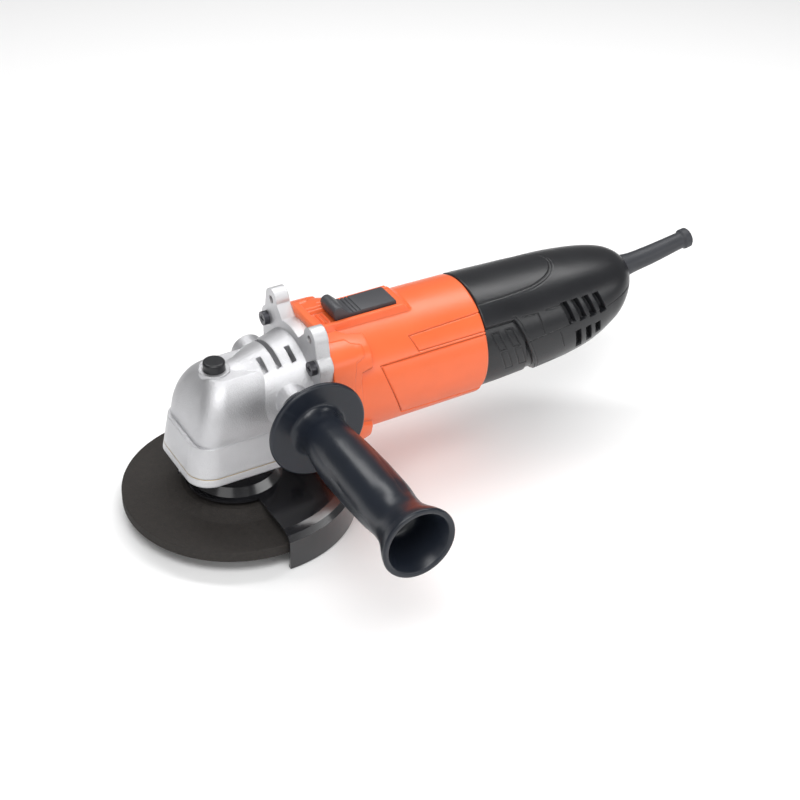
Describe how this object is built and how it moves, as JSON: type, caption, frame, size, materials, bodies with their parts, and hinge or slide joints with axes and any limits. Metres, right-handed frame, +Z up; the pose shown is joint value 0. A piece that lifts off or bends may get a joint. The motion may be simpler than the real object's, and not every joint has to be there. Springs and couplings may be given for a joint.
{
  "type": "angle grinder",
  "caption": "Corded angle grinder with metal gear head, depressed-centre wheel, half guard, slide switch and screw-in side handle.",
  "frame": {"origin": "centre of the clamp nut's outer face, on the spindle axis", "axes": "+X back along the motor towards the rear handle, +Z up along the spindle towards the lock button, side handle along -Y"},
  "size_m": [0.3603, 0.225, 0.1146],
  "materials": {
    "aluminium": "blasted",
    "orange_plastic": "satin",
    "black_plastic": "satin",
    "handle_plastic": "satin",
    "switch_plastic": "satin",
    "abrasive": "grainy",
    "black_steel": "gloss",
    "screw_steel": "blackened",
    "bright_steel": "ground",
    "gear_steel": "machined",
    "bronze": "sintered",
    "copper": "enamelled",
    "carbon": "matt",
    "rubber": "matt",
    "fibre": "matt"
  },
  "bodies": {
    "housing": {"air_baffle": "black_plastic", "bearing_cover": "aluminium", "bearing_cover_screws": "screw_steel", "bearing_retainer": "bright_steel", "brush_holders": "bronze", "brush_springs": "bright_steel", "carbon_brushes": "carbon", "cord_clamp": "black_plastic", "cord_clamp_screws": "screw_steel", "cord_guard": "rubber", "cover_gasket": "fibre", "field_coils": "copper", "flange_screws": "screw_steel", "front_bearing": "bright_steel", "gear_housing": "aluminium", "handle_lower": "black_plastic", "handle_screws": "screw_steel", "handle_upper": "black_plastic", "lock_spring": "bright_steel", "motor_housing": "orange_plastic", "rear_bearing": "bright_steel", "rear_bearing_cup": "rubber", "side_handle_grip": "handle_plastic", "side_handle_stud": "bright_steel", "spindle_bearing": "bright_steel", "spindle_bush": "bronze", "stator_core": "gear_steel", "switch_body": "black_plastic"},
    "spindle": {"spindle": "bright_steel", "crown_gear": "gear_steel", "inner_flange": "bright_steel", "grinding_wheel": "abrasive", "clamp_nut": "screw_steel"},
    "armature": {"armature_shaft": "bright_steel", "armature_core": "gear_steel", "armature_windings": "copper", "commutator": "copper", "cooling_fan": "black_plastic", "pinion": "gear_steel", "pinion_nut": "bright_steel"},
    "lock_button": {"lock_button": "black_plastic", "lock_pin": "bright_steel"},
    "switch_slider": {"switch_slider": "switch_plastic", "switch_rod": "black_plastic"},
    "guard": {"wheel_guard": "black_steel", "guard_clamp_screw": "bright_steel"}
  },
  "joints": [
    {"name": "spindle_spin", "type": "hinge", "parent": "housing", "child": "spindle", "pos_m": [0, 0, 0], "axis": [0, 0, 1], "continuous": true},
    {"name": "armature_spin", "type": "hinge", "parent": "housing", "child": "armature", "pos_m": [0, 0, 0.0598], "axis": [1, 0, 0], "continuous": true},
    {"name": "lock_press", "type": "slide", "parent": "housing", "child": "lock_button", "axis": [0, 0, -1], "range_m": [0, 0.005], "stiffness_N_per_m": 600, "springref_m": -0.003, "deforming": ["lock_spring"]},
    {"name": "switch_slide", "type": "slide", "parent": "housing", "child": "switch_slider", "axis": [-1, 0, 0], "range_m": [0, 0.008], "stiffness_N_per_m": 500, "springref_m": -0.004},
    {"name": "guard_turn", "type": "hinge", "parent": "housing", "child": "guard", "pos_m": [0, 0, 0], "axis": [0, 0, 1], "range_deg": [-90, 90]}
  ],
  "couplings": [
    {"joint": "armature_spin", "follows": "spindle_spin", "ratio": 3.4545}
  ]
}
